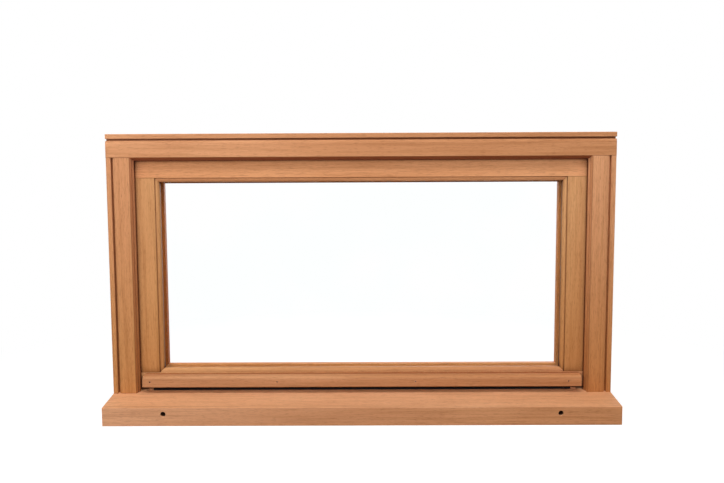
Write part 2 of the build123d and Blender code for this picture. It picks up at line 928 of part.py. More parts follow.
def hinge_leaf(centre, low, own, other):
    start = centre - hinge_length / 2
    plan = rectangle(
        start, start + hinge_length, frame_depth - hinge_leaf_depth, axis_y
    )
    with BuildPart() as leaf:
        add(prism_xy(plan, low, low + hinge_leaf_thickness))
        for index in other:
            x = start + index * knuckle_pitch - knuckle_gap / 2
            room = knuckle_radius + knuckle_clearance
            add(
                rod((x, axis_y, axis_z), (1, 0, 0), room, knuckle_pitch + knuckle_gap),
                mode=Mode.SUBTRACT,
            )
        for index in own:
            x = start + index * knuckle_pitch + knuckle_gap / 2
            add(rod((x, axis_y, axis_z), (1, 0, 0), knuckle_radius, knuckle_pitch - knuckle_gap))
        bore = hinge_pin_radius + hinge_pin_clearance
        add(rod((start, axis_y, axis_z), (1, 0, 0), bore, hinge_length), mode=Mode.SUBTRACT)
    return leaf.part


def hinge_pin(centre):
    start = centre - hinge_length / 2
    with BuildPart() as pin:
        add(rod((start, axis_y, axis_z), (1, 0, 0), hinge_pin_radius, hinge_length))
        for x, out in ((start, -1), (start + hinge_length, 1)):
            tip = rod((x, axis_y, axis_z), (out, 0, 0), knuckle_radius, hinge_tip_length)
            add(tip)
        for end_face in (faces().sort_by(Axis.X)[0], faces().sort_by(Axis.X)[-1]):
            chamfer(end_face.edges(), hinge_tip_bevel)
    return pin.part


sill_knuckles = range(0, knuckle_count, 2)
sash_knuckles = range(1, knuckle_count, 2)
sill_leaf_low = sill_leaf_top - hinge_leaf_thickness

with BuildPart() as hinge_left_sill_leaf:
    add(hinge_leaf(-hinge_offset, sill_leaf_low, sill_knuckles, sash_knuckles))
    with Locations(*sill_screws):
        add(screw_blank.part, mode=Mode.SUBTRACT)

with BuildPart() as hinge_right_sill_leaf:
    mirror(hinge_left_sill_leaf.part, about=Plane.YZ)

with BuildPart() as hinge_left_sash_leaf:
    add(hinge_leaf(-hinge_offset, sash_leaf_bottom, sash_knuckles, sill_knuckles))
    with Locations(*sash_screws):
        add(screw_blank.part, mode=Mode.SUBTRACT)

with BuildPart() as hinge_right_sash_leaf:
    mirror(hinge_left_sash_leaf.part, about=Plane.YZ)

with BuildPart() as hinge_left_pin:
    add(hinge_pin(-hinge_offset))

with BuildPart() as hinge_right_pin:
    mirror(hinge_left_pin.part, about=Plane.YZ)

with BuildPart() as hinge_screws_sill:
    with Locations(*sill_screws):
        add(screw.part)

with BuildPart() as hinge_screws_sash:
    with Locations(*sash_screws):
        add(screw.part)


# Quadrant stays
def on_arc(radius, angle):
    turn = radians(angle)
    return (axis_y + radius * sin(turn), axis_z + radius * cos(turn))


def arc_band(inner, outer, start, end):
    middle = (start + end) / 2
    with BuildLine() as outline:
        rise = ThreePointArc(on_arc(outer, start), on_arc(outer, middle), on_arc(outer, end))
        fall = ThreePointArc(on_arc(inner, end), on_arc(inner, middle), on_arc(inner, start))
        Line(rise @ 1, fall @ 0)
        Line(fall @ 1, rise @ 0)
    make_face(outline.edges())


stay_inner = stay_radius - stay_bar_width / 2
stay_outer = stay_radius + stay_bar_width / 2
guide_start = frame_depth + guide_stand_off
guide_end = guide_start + guide_depth
guide_lead = degrees(asin((guide_end - axis_y) / stay_inner))
stop_angle = guide_lead + tilt_limit + degrees((stop_head_radius + fit_gap) / stay_inner)
stay_end = stop_angle + degrees((stop_head_radius + stay_tail) / stay_radius)
stay_start = degrees(asin((frame_depth + stay_plate_thickness / 2 - axis_y) / stay_radius))
stay_bar_x = -jamb_rebate_x - stay_bar_inset
stay_plate_left = -stay_plate_mid_x - stay_plate_width / 2
stop_y, stop_z = on_arc(stay_radius, stop_angle)
stop_hole = rod(
    (stay_bar_x - stay_bar_thickness, stop_y, stop_z), (1, 0, 0), stop_radius, stay_bar_thickness
)

with BuildPart() as stay_quadrant_left:
    with BuildSketch(Plane.YZ.offset(stay_bar_x - stay_bar_thickness)):
        arc_band(stay_inner, stay_outer, stay_start, stay_end)
    extrude(amount=stay_bar_thickness)
    far_edges = edges().filter_by(Axis.X).sort_by(Axis.Y)[-2:]
    fillet(far_edges, stay_tail - arris_radius)
    add(
        fixing_plate(
            stay_plate_left,
            stay_plate_left + stay_plate_width,
            stay_z - stay_plate_height / 2,
            stay_z + stay_plate_height / 2,
            stay_plate_thickness,
        )
    )
    add(stop_hole, mode=Mode.SUBTRACT)
    with Locations(*stay_screws_at):
        add(screw_blank.part, mode=Mode.SUBTRACT)

with BuildPart() as stay_quadrant_right:
    mirror(stay_quadrant_left.part, about=Plane.YZ)

with BuildPart() as stay_stops:
    for start_x, out in ((stay_bar_x, 1), (stay_bar_x - stay_bar_thickness, -1)):
        stop_head = rod((start_x, stop_y, stop_z), (out, 0, 0), stop_head_radius, stop_head_thickness)
        add(pair(stop_head))
    add(pair(stop_hole))

with BuildPart() as stay_screws:
    with Locations(*stay_screws_at):
        add(screw.part)

# Stay guides: a plate on the stile with an arm that the curved bar runs through
guide_outer_x = stay_bar_x - stay_bar_thickness - guide_wall
guide_arm_x = guide_arm_width - sash_half + guide_plate_inset
guide_plate_left = -guide_plate_mid_x - guide_plate_width / 2
with BuildPart() as stay_guide_left:
    add(
        fixing_plate(
            guide_plate_left,
            guide_plate_left + guide_plate_width,
            stay_z - guide_plate_height / 2,
            stay_z + guide_plate_height / 2,
            stay_plate_thickness,
        )
    )
    arm_plan = [
        (guide_plate_left, frame_depth),
        (guide_arm_x, frame_depth),
        (guide_arm_x, guide_end),
        (guide_outer_x, guide_end),
        (guide_outer_x, guide_start),
        (guide_plate_left, guide_start),
    ]
    arm_reach = stay_bar_width / 2 + guide_wall
    add(prism_xy(arm_plan, stay_z - arm_reach, stay_z + arm_reach))
    guide_sweep = 2 * guide_lead
    with BuildSketch(Plane.YZ.offset(stay_bar_x - stay_bar_thickness - guide_clearance)):
        arc_band(
            stay_inner - guide_clearance, stay_outer + guide_clearance, -guide_sweep, guide_sweep
        )
    extrude(amount=stay_bar_thickness + 2 * guide_clearance, mode=Mode.SUBTRACT)
    with Locations(*guide_screws_at):
        add(screw_blank.part, mode=Mode.SUBTRACT)

with BuildPart() as stay_guide_right:
    mirror(stay_guide_left.part, about=Plane.YZ)

with BuildPart() as guide_screws:
    with Locations(*guide_screws_at):
        add(screw.part)

# Slide bolt: a case on the top rail, the bolt with its knob, and a keep on the head
case_radius = bolt_radius + case_wall
bolt_bottom_z = case_top_z - bolt_length
knob_z = case_bottom_z + case_wall + knob_stem_radius + knob_slot_clearance
knob_slot_half = knob_stem_radius + knob_slot_clearance


def bolt_housing(low, high, bore):
    with BuildPart() as housing:
        with BuildSketch(Plane.XY.offset(low)):
            with Locations((0, bolt_y)):
                Circle(case_radius)
            with Locations((0, (case_face_y + bolt_y) / 2)):
                Rectangle(2 * case_radius, bolt_y - case_face_y)
            with Locations((0, bolt_y)):
                Circle(bore, mode=Mode.SUBTRACT)
        extrude(amount=high - low)
    return housing.part


def bolt_plate(low, high):
    half = case_plate_width / 2
    return fixing_plate(-half, half, low, high, case_plate_thickness)


with BuildPart() as catch_case:
    add(bolt_plate(case_bottom_z, case_top_z))
    add(bolt_housing(case_bottom_z, case_top_z, bolt_radius + bolt_clearance))
    slot_outline = rectangle(
        -knob_slot_half, knob_slot_half, knob_z - knob_slot_half, knob_z + bolt_travel + knob_slot_half
    )
    add(prism_xz(slot_outline, bolt_y, bolt_y + case_radius + overrun), mode=Mode.SUBTRACT)
    with Locations(*case_screws_at):
        add(screw_blank.part, mode=Mode.SUBTRACT)

knob_seat_y = bolt_y + bolt_radius - knob_seat_depth
knob_seat = rod((0, knob_seat_y, knob_z), (0, 1, 0), knob_stem_radius, knob_seat_depth + overrun)
with BuildPart() as catch_bolt:
    add(rod((0, bolt_y, bolt_bottom_z), (0, 0, 1), bolt_radius, bolt_length))
    chamfer(faces().sort_by(Axis.Z)[-1].edges(), bolt_bevel)
    add(knob_seat, mode=Mode.SUBTRACT)

with BuildPart() as catch_knob:
    flare_start_y = knob_seat_y + knob_seat_depth + knob_neck_length
    rim_start_y = flare_start_y + knob_flare
    rim_end_y = rim_start_y + knob_rim
    with BuildSketch(Plane.YZ):
        with BuildLine():
            Polyline(
                (knob_seat_y, knob_z),
                (knob_seat_y, knob_z + knob_stem_radius),
                (flare_start_y, knob_z + knob_stem_radius),
                (rim_start_y, knob_z + knob_radius),
                (rim_end_y, knob_z + knob_radius),
                (rim_end_y + knob_bevel, knob_z + knob_radius - knob_bevel),
                (rim_end_y + knob_bevel, knob_z),
                close=True,
            )
        make_face()
    revolve(axis=Axis((0, 0, knob_z), (0, 1, 0)))

with BuildPart() as catch_screws:
    with Locations(*case_screws_at):
        add(screw.part)

with BuildPart() as catch_keep:
    add(bolt_plate(keep_bottom_z, keep_bottom_z + keep_plate_height))
    add(
        bolt_housing(
            keep_bottom_z, keep_bottom_z + keep_staple_height, bolt_radius + keep_clearance
        )
    )
    with Locations(*keep_screws_at):
        add(screw_blank.part, mode=Mode.SUBTRACT)

with BuildPart() as keep_screws:
    with Locations(*keep_screws_at):
        add(screw.part)

# One file for each piece
pieces = {
    "head": head,
    "jamb_left": jamb_left,
    "jamb_right": jamb_right,
    "sill": sill,
    "frame_wedges": frame_wedges,
    "head_seal": head_seal,
    "jamb_seal_left": jamb_seal_left,
    "jamb_seal_right": jamb_seal_right,
    "sill_seal": sill_seal,
    "closing_packers": closing_packers,
    "sash_top_rail": sash_top_rail,
    "sash_bottom_rail": sash_bottom_rail,
    "sash_stile_left": sash_stile_left,
    "sash_stile_right": sash_stile_right,
    "sash_wedges": sash_wedges,
    "weather_bar": weather_bar,
    "weather_bar_pins": weather_bar_pins,
    "outer_pane": outer_pane,
    "inner_pane": inner_pane,
    "glazing_tape": glazing_tape,
    "edge_sealant": edge_sealant,
    "spacer_bar": spacer_bar,
    "setting_blocks": setting_blocks,
    "glazing_bead_top": glazing_bead_top,
    "glazing_bead_bottom": glazing_bead_bottom,
    "glazing_bead_left": glazing_bead_left,
    "glazing_bead_right": glazing_bead_right,
    "bead_pins": bead_pins,
    "hinge_left_sill_leaf": hinge_left_sill_leaf,
    "hinge_right_sill_leaf": hinge_right_sill_leaf,
    "hinge_left_sash_leaf": hinge_left_sash_leaf,
    "hinge_right_sash_leaf": hinge_right_sash_leaf,
    "hinge_left_pin": hinge_left_pin,
    "hinge_right_pin": hinge_right_pin,
    "hinge_screws_sill": hinge_screws_sill,
    "hinge_screws_sash": hinge_screws_sash,
    "stay_quadrant_left": stay_quadrant_left,
    "stay_quadrant_right": stay_quadrant_right,
    "stay_stops": stay_stops,
    "stay_screws": stay_screws,
    "stay_guide_left": stay_guide_left,
    "stay_guide_right": stay_guide_right,
    "guide_screws": guide_screws,
    "catch_case": catch_case,
    "catch_bolt": catch_bolt,
    "catch_knob": catch_knob,
    "catch_screws": catch_screws,
    "catch_keep": catch_keep,
    "keep_screws": keep_screws,
}
os.makedirs("parts", exist_ok=True)
for name, piece in pieces.items():
    piece.part.label = name
    export_step(piece.part, f"parts/{name}.step")
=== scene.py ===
import json
from collections import namedtuple
from math import cos, sin

import bpy
from mathutils import Matrix, Vector


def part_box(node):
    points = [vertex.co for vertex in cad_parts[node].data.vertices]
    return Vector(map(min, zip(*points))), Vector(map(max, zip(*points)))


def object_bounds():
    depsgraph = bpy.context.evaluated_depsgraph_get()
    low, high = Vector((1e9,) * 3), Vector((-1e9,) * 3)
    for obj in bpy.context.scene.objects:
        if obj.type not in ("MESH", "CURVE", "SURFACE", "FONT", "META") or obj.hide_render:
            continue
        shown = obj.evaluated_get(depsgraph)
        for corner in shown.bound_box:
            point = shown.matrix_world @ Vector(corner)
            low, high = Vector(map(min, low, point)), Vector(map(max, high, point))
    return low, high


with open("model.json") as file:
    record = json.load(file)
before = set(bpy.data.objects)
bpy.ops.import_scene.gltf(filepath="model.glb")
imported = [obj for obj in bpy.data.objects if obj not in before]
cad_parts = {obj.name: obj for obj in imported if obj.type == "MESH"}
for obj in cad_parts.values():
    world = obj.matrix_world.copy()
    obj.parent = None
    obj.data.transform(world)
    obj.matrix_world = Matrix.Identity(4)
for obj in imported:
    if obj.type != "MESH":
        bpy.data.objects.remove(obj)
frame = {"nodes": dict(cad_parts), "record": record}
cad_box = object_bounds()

# Lengths are metres, angles are radians and colours are 8-bit sRGB. A pair of limits gives the
# two values between which a mask rises from 0 to 1.

# Camera, fitted to the edges of the photographed window; its sensor is in millimetres
IMAGE_WIDTH = 724
FOCAL_PIXELS = 700
SENSOR_WIDTH = 36.0
CAMERA_PLACE = Vector((0.00795, -1.26105, 0.42535))
CAMERA_YAW = -0.0049
CAMERA_PITCH = -0.083
CAMERA_ROLL = -0.0046

# Light: an even fill, and soft panels at the front left, the front right, overhead and behind,
# each with its place, the point it faces, its size and its watts
WHITE = (255, 255, 255)
WHITE_STRENGTH = 1.0
FILL_STRENGTH = 0.06
Panel = namedtuple("Panel", "place aim size watts")
PANELS = {
    "left": Panel((-1.05, -1.25, 0.85), (-0.3, 0.0, 0.30), (0.8, 0.9), 9.5),
    "right": Panel((0.60, -2.00, 1.05), (0.2, 0.0, 0.28), (1.3, 1.4), 16.8),
    "overhead": Panel((0.0, -0.75, 1.9), (0.0, -0.05, 0.0), (2.0, 0.5), 22.0),
    "rear": Panel((0.5, 2.40, 0.55), (0.0, 0.0, 0.28), (1.6, 0.8), 28.0),
}

# Floor: pale near the part, where it keeps the shadow, and white further off
FLOOR_HALF = 6.0
FLOOR_DROP = 0.0005
FLOOR_TONE = (196, 194, 192)
FLOOR_MOTTLE = (190, 188, 186)
FLOOR_MOTTLE_COUNT = 9.0
FLOOR_MOTTLE_DETAIL = 3.0
FLOOR_LIFT = 0.76
FLOOR_FADE = (0.45, 1.05)

# Wood tones
PEACH = (224, 160, 112)
SHELL = (213, 158, 119)
ROSE = (211, 152, 109)
HONEY = (205, 151, 102)
FAWN = (197, 143, 102)
TAN = (194, 135, 91)
AMBER = (192, 132, 78)
RUSSET = (184, 120, 68)
# Painted light and shade on the glazing beads: apricot on the lit bottom and right beads, rust on the
# left bead turned from the light, umber on the top bead facing down
APRICOT = (226, 150, 90)
RUST = (186, 104, 46)
UMBER = (150, 78, 30)
# Painted light: the sill's top is paler because light falls on it from above
SILL_TOP_LIGHT = (231, 170, 124)

# Colours of the fittings
BRASS = (190, 152, 92)
PIN_STEEL = (128, 120, 112)
# Darker than the rubber itself: the seal also paints the shade of the gap under the weather bar
SEAL_BLACK_AND_GAP_SHADE = (10, 10, 11)
SEALANT_GREY = (38, 37, 36)
SPACER_GREY = (58, 53, 49)
BLOCK_GREY = (66, 67, 70)

# Boards: the tones at the low and the high end, and the axis that the grain runs along
X_AXIS, Y_AXIS, Z_AXIS = range(3)
BOARDS = {
    "head": (ROSE, TAN, X_AXIS),
    "jamb_left": (AMBER, ROSE, Z_AXIS),
    "jamb_right": (RUSSET, ROSE, Z_AXIS),
    "sill": (SHELL, TAN, X_AXIS),
    "closing_packers": (SHELL, SHELL, X_AXIS),
    "sash_top_rail": (PEACH, PEACH, X_AXIS),
    "sash_bottom_rail": (HONEY, TAN, X_AXIS),
    "sash_stile_left": (AMBER, HONEY, Z_AXIS),
    "sash_stile_right": (AMBER, HONEY, Z_AXIS),
    "weather_bar": (FAWN, TAN, X_AXIS),
    # The beads' tones are painted light and shade; their faces turned to the back keep plain honey
    "glazing_bead_top": (UMBER, UMBER, X_AXIS),
    "glazing_bead_bottom": (APRICOT, APRICOT, X_AXIS),
    "glazing_bead_left": (RUST, RUST, Z_AXIS),
    "glazing_bead_right": (APRICOT, APRICOT, Z_AXIS),
    "frame_wedges": (TAN, TAN, Z_AXIS),
    "sash_wedges": (TAN, TAN, X_AXIS),
}
SEED_STEP = 3.7

# Shades of a board: gains on the red, green and blue of its tone
SHADES = {
    "pale": (1.04, 1.05, 1.06),
    "warm": (0.98, 0.955, 0.93),
    "deep": (0.87, 0.81, 0.74),
    # Dark also serves as painted shade; the next is edge wear with a painted highlight; the last two are
    # painted shade in recesses and in bores and gaps
    "dark": (0.62, 0.52, 0.42),
    "wear_and_highlight": (1.13, 1.15, 1.19),
    "painted_shade": (0.64, 0.38, 0.20),
    "black": (0.10, 0.07, 0.06),
}

# Grain: layers of noise drawn out along the fibres, each with its shade, its count per metre
# across the grain, how many times longer it is along the grain, its detail, limits and share
Layer = namedtuple("Layer", "shade count stretch detail limits share")
LAYERS = {
    "drift": Layer("warm", 7.0, 4.0, 2.0, (0.32, 0.68), 1.0),
    "ribbon": Layer("deep", 120.0, 28.0, 3.0, (0.40, 0.80), 0.70),
    "fibre": Layer("deep", 760.0, 46.0, 4.0, (0.42, 0.80), 0.65),
    "fleck": Layer("dark", 640.0, 9.0, 1.0, (0.56, 0.70), 0.22),
    "pore": Layer("dark", 2300.0, 26.0, 2.0, (0.60, 0.70), 0.55),
}
GRAIN_BUMP = 0.20
GRAIN_DEPTH = 0.00025
WOOD_ROUGHNESS = (0.54, 0.68)
WOOD_GLOSS = 0.15

# Faces: those turned one way are paler, which on upward faces is painted light from above, and end grain
# is darker, with fine rays; the limits are on the part of the normal that points that way
PALE_FACING = (0.35, 0.75)
TOP_LIGHT_GAIN = 1.07
END_FACING = (0.70, 0.95)
END_RAY = Layer("dark", 1500.0, 1.0, 2.0, (0.35, 0.65), 0.80)

# Edges: the radius and share of their paler wear, which also paints a highlight on them, and the limits
# on the cosine of the angle between the rounded normal and the face's own
EDGE_RADIUS = 0.0012
EDGE_SHARE = 0.75
BAR_EDGE_RADIUS = 0.0018
BAR_EDGE_SHARE = 0.90
EDGE_TURN = (0.995, 0.85)
EDGE_SAMPLES = 4

# Painted shade in narrow recesses and gaps: how near other surfaces lie, and the limits on the open
# share there
RECESS_REACH = 0.005
RECESS_LIMITS = (0.82, 0.48)
RECESS_SAMPLES = 8
RECESS_SHADE_SHARE = 0.92
GROOVE_SHARES = {"head": 0.55, "left": 0.40, "right": 0.0}

# Painted shade: black in bores and deep gaps, by the same measures
BORE_REACH = 0.03
BORE_LIMITS = (0.12, 0.05)
SILL_BORE_LIMITS = (0.45, 0.20)
FOOT_BORE_LIMITS = (0.48, 0.30)
SASH_BORE_LIMITS = (0.68, 0.42)

# Painted soft shade on the sash in the lee of the frame's lip, by the same measures
LEE_SHADE_REACH = 0.020
LEE_SHADE_LIMITS = (0.97, 0.45)
LEE_SHADE_SHARE = 0.9

# Marks by place: how far each moulding reaches past the face it is worked on, half the width of the
# dark line at its quirk (painted shade) and where a shoulder closes (a dark joint), and the shares there
# and of the painted shade on the lips
Line = namedtuple("Line", "axis level half_width share")
LIP_MOULDING = 0.0050
SASH_MOULDING = 0.0075
DARK_LINE = 0.0009
LINE_SHARE = 0.5
HEAD_LIP_SHADE_SHARE = 0.80
JAMB_LIP_SHADE_SHARES = {"left": 0.35, "right": 0.12}

# Noise values that a roughness is spread over
MIDDLE = (0.30, 0.70)

# Metal: tarnish, drawn scratches and rubbed edges
TARNISH_COUNT = 55.0
TARNISH_DETAIL = 3.0
TARNISH_LIMITS = (0.35, 0.75)
TARNISH_GAINS = (0.80, 0.76, 0.70)
SCRATCH_COUNTS = (250.0, 2600.0, 2600.0)
SCRATCH_DETAIL = 2.0
SCRATCH_BUMP = 0.12
SCRATCH_DEPTH = 0.0001
RUBBED_RADIUS = 0.0005
RUBBED_SHARE = 0.45
RUBBED_GAIN = 1.10

# Rubber, sealant and plastic: a pitted skin and dust
SKIN_DETAIL = 3.0
SKIN_BUMP = 0.35
SKIN_ROUGHNESS = (0.55, 0.80)
SKIN_GLOSS = 0.2
DUST_COUNT = 40.0
DUST_DETAIL = 3.0
DUST_LIMITS = (0.40, 0.75)
DUST_GAIN = 1.5

# Glass: a faint bloom and a dim mirror image
BLOOM_COUNT = 6.0
BLOOM_DETAIL = 2.0
BLOOM_LIMITS = (0.35, 0.65)
BLOOM_TINT = (254, 255, 255)
BLOOM_ROUGH_LIMITS = (0.40, 0.80)
BLOOM_ROUGHNESS = (0.0, 0.012)
GLASS_IOR = 1.5
GLASS_MIRROR = (64, 64, 64)

MIX_COLOURS = ("A_Color", "B_Color")


def linear(colour):
    """An 8-bit sRGB colour as the linear RGBA that shaders take."""
    shares = [channel / 255 for channel in colour]
    return [
        share / 12.92 if share <= 0.04045 else ((share + 0.055) / 1.055) ** 2.4
        for share in shares
    ] + [1.0]


def shaded(colour, *gains):
    """The colour with each channel scaled, one gain for all or one for each."""
    gains = gains if len(gains) == 3 else gains * 3
    return [min(255, channel * gain) for channel, gain in zip(colour, gains)]


def pale_gains(tone, pale_tone):
    """The gain of each linear channel from a board's tone to that of its paler faces."""
    return [high / low for high, low in zip(linear(pale_tone), linear(tone))]


class Graph:
    """Short forms for the nodes of one material or of the world."""

    def __init__(self, tree):
        self.tree = tree
        tree.nodes.clear()

    def add(self, kind, inputs=(), **settings):
        node = self.tree.nodes.new("ShaderNode" + kind)
        for setting, value in settings.items():
            setattr(node, setting, value)
        for socket, value in dict(inputs).items():
            self.feed(node.inputs[socket], value)
        return node

    def feed(self, socket, value):
        if isinstance(value, bpy.types.NodeSocket):
            self.tree.links.new(value, socket)
        else:
            socket.default_value = value

    def math(self, operation, first, second=0.0):
        return self.add("Math", {0: first, 1: second}, operation=operation).outputs[0]

    def spread(self, value, low, high, start=0.0, end=1.0):
        """The value's stretch from low to high, eased and drawn out to start and end."""
        inputs = {"Value": value, "From Min": low, "From Max": high, "To Min": start, "To Max": end}
        return self.add("MapRange", inputs, interpolation_type="SMOOTHSTEP").outputs["Result"]

    def blend(self, factor, first, second, kind="MIX"):
        node = self.add("Mix", data_type="RGBA", blend_type=kind)
        sockets = {socket.identifier: socket for socket in node.inputs}
        self.feed(sockets["Factor_Float"], factor)
        for name, colour in zip(MIX_COLOURS, (first, second)):
            self.feed(sockets[name], colour)
        return next(socket for socket in node.outputs if socket.identifier == "Result_Color")

    def noise(self, place, counts, detail, offset=0.0):
        """Noise in [0, 1] with its own count per metre along each axis."""
        inputs = {"Vector": place, "Scale": counts, "Location": (offset, offset, offset)}
        stretched = self.add("Mapping", inputs).outputs["Vector"]
        inputs = {"Vector": stretched, "Scale": 1.0, "Detail": detail}
        return self.add("TexNoise", inputs).outputs["Fac"]

    def grain(self, place, layer, axis, offset):
        counts = [layer.count] * 3
        counts[axis] = layer.count / layer.stretch
        return self.noise(place, counts, layer.detail, offset)


def material_graph(name):
    material = bpy.data.materials.new(name)
    material.use_nodes = True
    return material, Graph(material.node_tree)


def finish_material(graph, shader):
    graph.add("OutputMaterial", {"Surface": shader})


def finish_solid(graph, inputs, height, strength, depth, rounded=None):
    """Ends an opaque material with its bump, over the rounded normal where it has one."""
    bump_inputs = {"Strength": strength, "Distance": depth, "Height": height}
    if rounded is not None:
        bump_inputs["Normal"] = rounded
    normal = graph.add("Bump", bump_inputs).outputs["Normal"]
    shader = graph.add("BsdfPrincipled", {**inputs, "Normal": normal}).outputs["BSDF"]
    finish_material(graph, shader)


def recess_mask(graph, own_only, reach, limits):
    """1 where less of the space within reach is open than the limits say, and 0 on open faces."""
    settings = {"samples": RECESS_SAMPLES, "only_local": own_only}
    open_share = graph.add("AmbientOcclusion", {"Distance": reach}, **settings).outputs["AO"]
    return graph.spread(open_share, *limits)


def edge_mask(graph, radius):
    """1 along the edges of the piece and 0 on its faces, and the rounded normal that shows it."""
    rounded = graph.add("Bevel", {"Radius": radius}, samples=EDGE_SAMPLES).outputs["Normal"]
    facing = graph.add("NewGeometry").outputs["Normal"]
    turn = graph.add("VectorMath", {0: rounded, 1: facing}, operation="DOT_PRODUCT").outputs["Value"]
    return graph.spread(turn, *EDGE_TURN), rounded


def line_mask(graph, spot, lines):
    """The share of each line along it, with soft sides, and 0 elsewhere."""
    mask = 0.0
    for line in lines:
        away = graph.math("ABSOLUTE", graph.math("SUBTRACT", spot[line.axis], line.level))
        limits = (line.half_width, line.half_width - DARK_LINE / 2)
        mask = graph.math("MAXIMUM", mask, graph.spread(away, *limits, 0.0, line.share))
    return mask


class Board:
    """The wood of one board, laid on in steps: grain, faces, edges, painted shade and dark lines."""

    def __init__(self, name, tones, axis, ends, seed):
        self.material, self.graph = material_graph(name)
        self.tones, self.axis, self.seed = tones, axis, seed
        coordinates = self.graph.add("TexCoord").outputs
        self.place = coordinates["Object"]
        self.spot = self.graph.add("SeparateXYZ", {0: self.place}).outputs
        self.facing = self.graph.add("SeparateXYZ", {0: coordinates["Normal"]}).outputs
        self.far = self.graph.spread(self.spot[axis], *ends)
        self.noises = {key: self.noise(layer) for key, layer in LAYERS.items()}
        self.shades = {key: self.shade(gains) for key, gains in SHADES.items()}
        self.tone = self.shades["pale"]

    def noise(self, layer):
        return self.graph.grain(self.place, layer, self.axis, self.seed)

    def shade(self, gains):
        """A shade of the wood, going from the board's low end to its high end."""
        return self.graph.blend(self.far, *[linear(shaded(tone, *gains)) for tone in self.tones])

    def lay(self, mask, share, colour):
        """Lays a colour over the tone so far."""
        self.tone = self.graph.blend(self.graph.math("MULTIPLY", mask, share), self.tone, colour)

    def grain(self):
        """Drift, ribbons, fibres, flecks and open pores, one over the other."""
        for key, layer in LAYERS.items():
            mask = self.graph.spread(self.noises[key], *layer.limits)
            self.lay(mask, layer.share, self.shades[layer.shade])

    def faces(self, pale_face, pale_tone):
        """Paler faces on the high side of one axis, painted light where they face up, and dark end
        grain.
        """
        graph = self.graph
        gains = [pale_gains(tone, pale_tone or shaded(tone, TOP_LIGHT_GAIN)) for tone in self.tones]
        turned = graph.spread(self.facing[pale_face], *PALE_FACING)
        self.tone = graph.blend(turned, self.tone, graph.blend(self.far, *gains), "MULTIPLY")
        rays = graph.spread(self.noise(END_RAY), *END_RAY.limits)
        end_tone = graph.blend(rays, self.shades["deep"], self.shades[END_RAY.shade])
        end = graph.spread(graph.math("ABSOLUTE", self.facing[self.axis]), *END_FACING)
        self.lay(end, END_RAY.share, end_tone)

    def edges(self, radius, share):
        """Worn edges with a painted highlight; returns the normal that is rounded across them."""
        edge, rounded = edge_mask(self.graph, radius)
        self.lay(edge, share, self.shades["wear_and_highlight"])
        return rounded

    def lee_shade_and_lines(self, lines, shade_bands, lee_shade_share, own_only):
        """Painted soft shade in the lee of the frame's lip, bands of painted shade, and dark lines at
        quirks (painted shade) and joints.
        """
        if lee_shade_share:
            lee = recess_mask(self.graph, own_only, LEE_SHADE_REACH, LEE_SHADE_LIMITS)
            self.lay(lee, lee_shade_share, self.shades["dark"])
        for marks, shade in ((shade_bands, "painted_shade"), (lines, "dark")):
            if marks:
                mask = line_mask(self.graph, self.spot, marks)
                self.tone = self.graph.blend(mask, self.tone, self.shades[shade])

    def painted_shade(self, share, bore_limits, own_only):
        """Painted shade: brown in narrow recesses, and black in bores and deep gaps."""
        recess = recess_mask(self.graph, own_only, RECESS_REACH, RECESS_LIMITS)
        self.lay(recess, share, self.shades["painted_shade"])
        bore = recess_mask(self.graph, own_only, BORE_REACH, bore_limits)
        self.lay(bore, share, self.shades["black"])

    def finish(self, rounded):
        """Ends the material, with fibres that stand up and pores that are pits."""
        fibre = self.noises["fibre"]
        pits = self.graph.spread(self.noises["pore"], *LAYERS["pore"].limits)
        height = self.graph.math("SUBTRACT", fibre, pits)
        inputs = {
            "Base Color": self.tone,
            "Roughness": self.graph.spread(fibre, *MIDDLE, *WOOD_ROUGHNESS),
            "Specular IOR Level": WOOD_GLOSS,
        }
        finish_solid(self.graph, inputs, height, GRAIN_BUMP, GRAIN_DEPTH, rounded)
        return self.material


def wood(name, tones, axis, ends, seed, pale_face=Z_AXIS, pale_tone=None, lines=(), shade_bands=(),
         lee_shade_share=0.0, recess_shade_share=RECESS_SHADE_SHARE, bore_limits=BORE_LIMITS, own_only=False,
         edge_radius=EDGE_RADIUS, edge_share=EDGE_SHARE):
    """Planed hardwood: a tone at each end of the board, drift, ribbons, fibres, flecks, open pores,
    dark end grain, paler faces on one side (painted light on the tops), worn edges with a painted
    highlight, and painted shade in the recesses, gaps and quirks, with dark joints."""
    board = Board(name, tones, axis, ends, seed)
    board.grain()
    board.faces(pale_face, pale_tone)
    rounded = board.edges(edge_radius, edge_share)
    board.lee_shade_and_lines(lines, shade_bands, lee_shade_share, own_only)
    board.painted_shade(recess_shade_share, bore_limits, own_only)
    return board.finish(rounded)


def metal(name, colour, seed, roughness):
    """Satin metal: fine drawn scratches, faint tarnish and brighter rubbed edges."""
    material, graph = material_graph(name)
    place = graph.add("TexCoord").outputs["Object"]
    tarnish = graph.noise(place, [TARNISH_COUNT] * 3, TARNISH_DETAIL, seed)
    scratch = graph.noise(place, SCRATCH_COUNTS, SCRATCH_DETAIL, seed)
    tarnished = linear(shaded(colour, *TARNISH_GAINS))
    tone = graph.blend(graph.spread(tarnish, *TARNISH_LIMITS), linear(colour), tarnished)
    edge, rounded = edge_mask(graph, RUBBED_RADIUS)
    rubbed = linear(shaded(colour, RUBBED_GAIN))
    tone = graph.blend(graph.math("MULTIPLY", edge, RUBBED_SHARE), tone, rubbed)
    inputs = {
        "Base Color": tone,
        "Metallic": 1.0,
        "Roughness": graph.spread(scratch, *MIDDLE, *roughness),
    }
    finish_solid(graph, inputs, scratch, SCRATCH_BUMP, SCRATCH_DEPTH, rounded)
    return material


